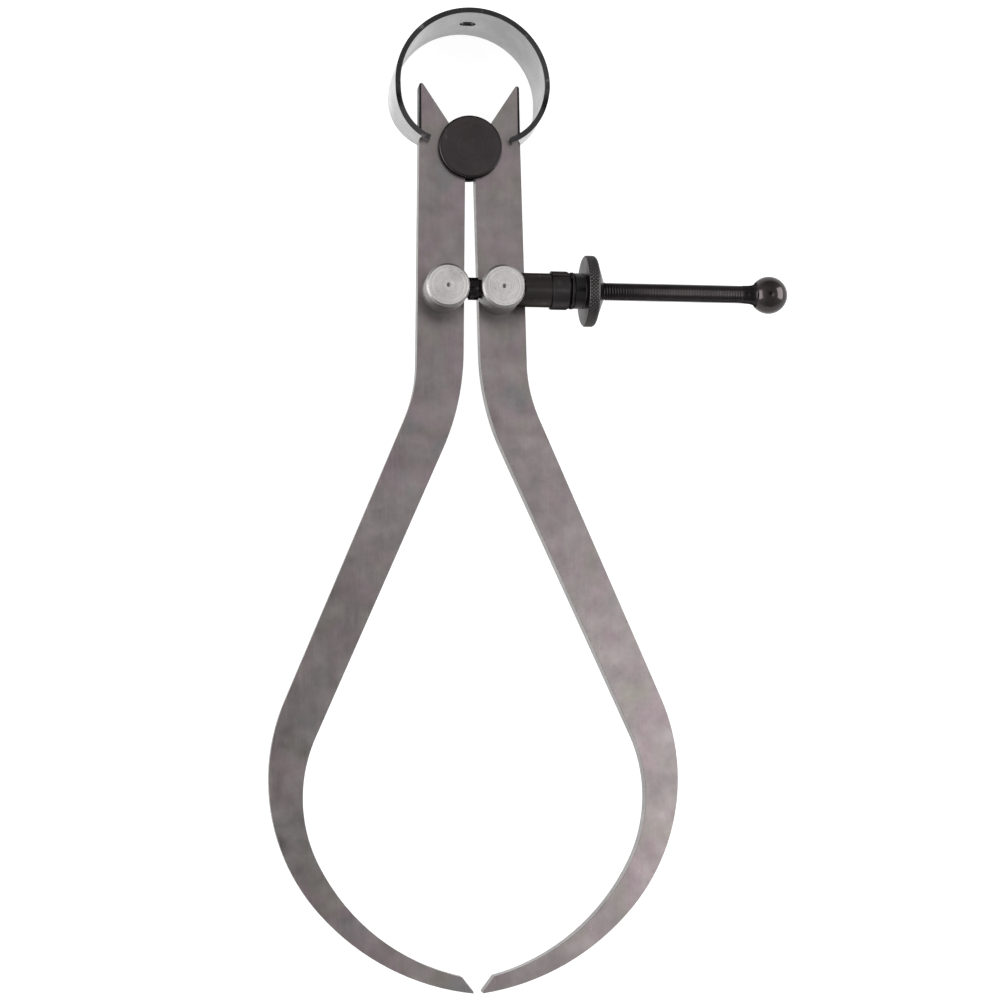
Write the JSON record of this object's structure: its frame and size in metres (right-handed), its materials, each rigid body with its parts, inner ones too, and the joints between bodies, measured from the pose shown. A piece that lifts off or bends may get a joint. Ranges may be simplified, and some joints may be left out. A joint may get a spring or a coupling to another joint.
{
  "type": "outside spring caliper",
  "caption": "Outside spring caliper with two flat bowed legs on a fulcrum spool, a bow spring, and a ball-ended screw with a quick-adjusting knurled nut.",
  "frame": {"origin": "under the centre of the bounding box, on the plane that the caliper lies on", "axes": "+Y from the tips towards the bow, +X from the left leg towards the right leg along the screw, +Z from the back to the front, where the screw is"},
  "size_m": [0.0936, 0.1746, 0.0173],
  "materials": {
    "leg_steel": "satin ground steel",
    "spring_steel": "bright spring steel",
    "bright_steel": "turned, bright",
    "black_oxide": "black oxide"
  },
  "bodies": {
    "fulcrum": {"fulcrum_stud": "black_oxide", "fulcrum_flange": "black_oxide", "bow_spring": "spring_steel"},
    "left_leg": {"left_leg": "leg_steel"},
    "right_leg": {"right_leg": "leg_steel"},
    "screw_carrier": {"screw_post": "bright_steel", "screw_post_washer": "bright_steel", "adjusting_screw": "black_oxide"},
    "nut_carrier": {"nut_post": "bright_steel", "nut_post_washer": "bright_steel", "closing_sleeve": "black_oxide"},
    "nut": {"knurled_nut": "black_oxide", "jaw_ring": "black_oxide"},
    "upper_jaw": {"upper_jaw": "black_oxide"},
    "lower_jaw": {"lower_jaw": "black_oxide"}
  },
  "joints": [
    {"name": "left_leg_swing", "type": "hinge", "parent": "fulcrum", "child": "left_leg", "pos_m": [-0.01069, 0.06267, 0.00625], "axis": [0, 0, -1], "range_deg": [-0.3, 30], "deforming": ["bow_spring"]},
    {"name": "right_leg_swing", "type": "hinge", "parent": "fulcrum", "child": "right_leg", "pos_m": [-0.01069, 0.06267, 0.00625], "axis": [0, 0, 1], "range_deg": [-0.3, 30]},
    {"name": "screw_post_swivel", "type": "hinge", "parent": "left_leg", "child": "screw_carrier", "pos_m": [-0.01569, 0.03607, 0.00625], "axis": [0, 0, 1], "range_deg": [-0.3, 30]},
    {"name": "nut_post_swivel", "type": "hinge", "parent": "right_leg", "child": "nut_carrier", "pos_m": [-0.00568, 0.03607, 0.00625], "axis": [0, 0, -1], "range_deg": [-0.3, 30]},
    {"name": "nut_turn", "type": "hinge", "parent": "nut_carrier", "child": "nut", "pos_m": [0.00982, 0.03607, 0.01087], "axis": [1, 0, 0], "continuous": true},
    {"name": "upper_jaw_release", "type": "slide", "parent": "nut", "child": "upper_jaw", "axis": [0, 0.7986, -0.6018], "range_m": [0, 0.0003], "stiffness_N_per_m": 60},
    {"name": "lower_jaw_release", "type": "slide", "parent": "nut", "child": "lower_jaw", "axis": [0, -0.7986, 0.6018], "range_m": [0, 0.0003], "stiffness_N_per_m": 60}
  ],
  "couplings": [
    {"joint": "right_leg_swing", "follows": "left_leg_swing", "ratio": 1},
    {"joint": "screw_post_swivel", "follows": "left_leg_swing", "ratio": 1},
    {"joint": "nut_post_swivel", "follows": "left_leg_swing", "ratio": 1},
    {"joint": "lower_jaw_release", "follows": "upper_jaw_release", "ratio": 1}
  ]
}
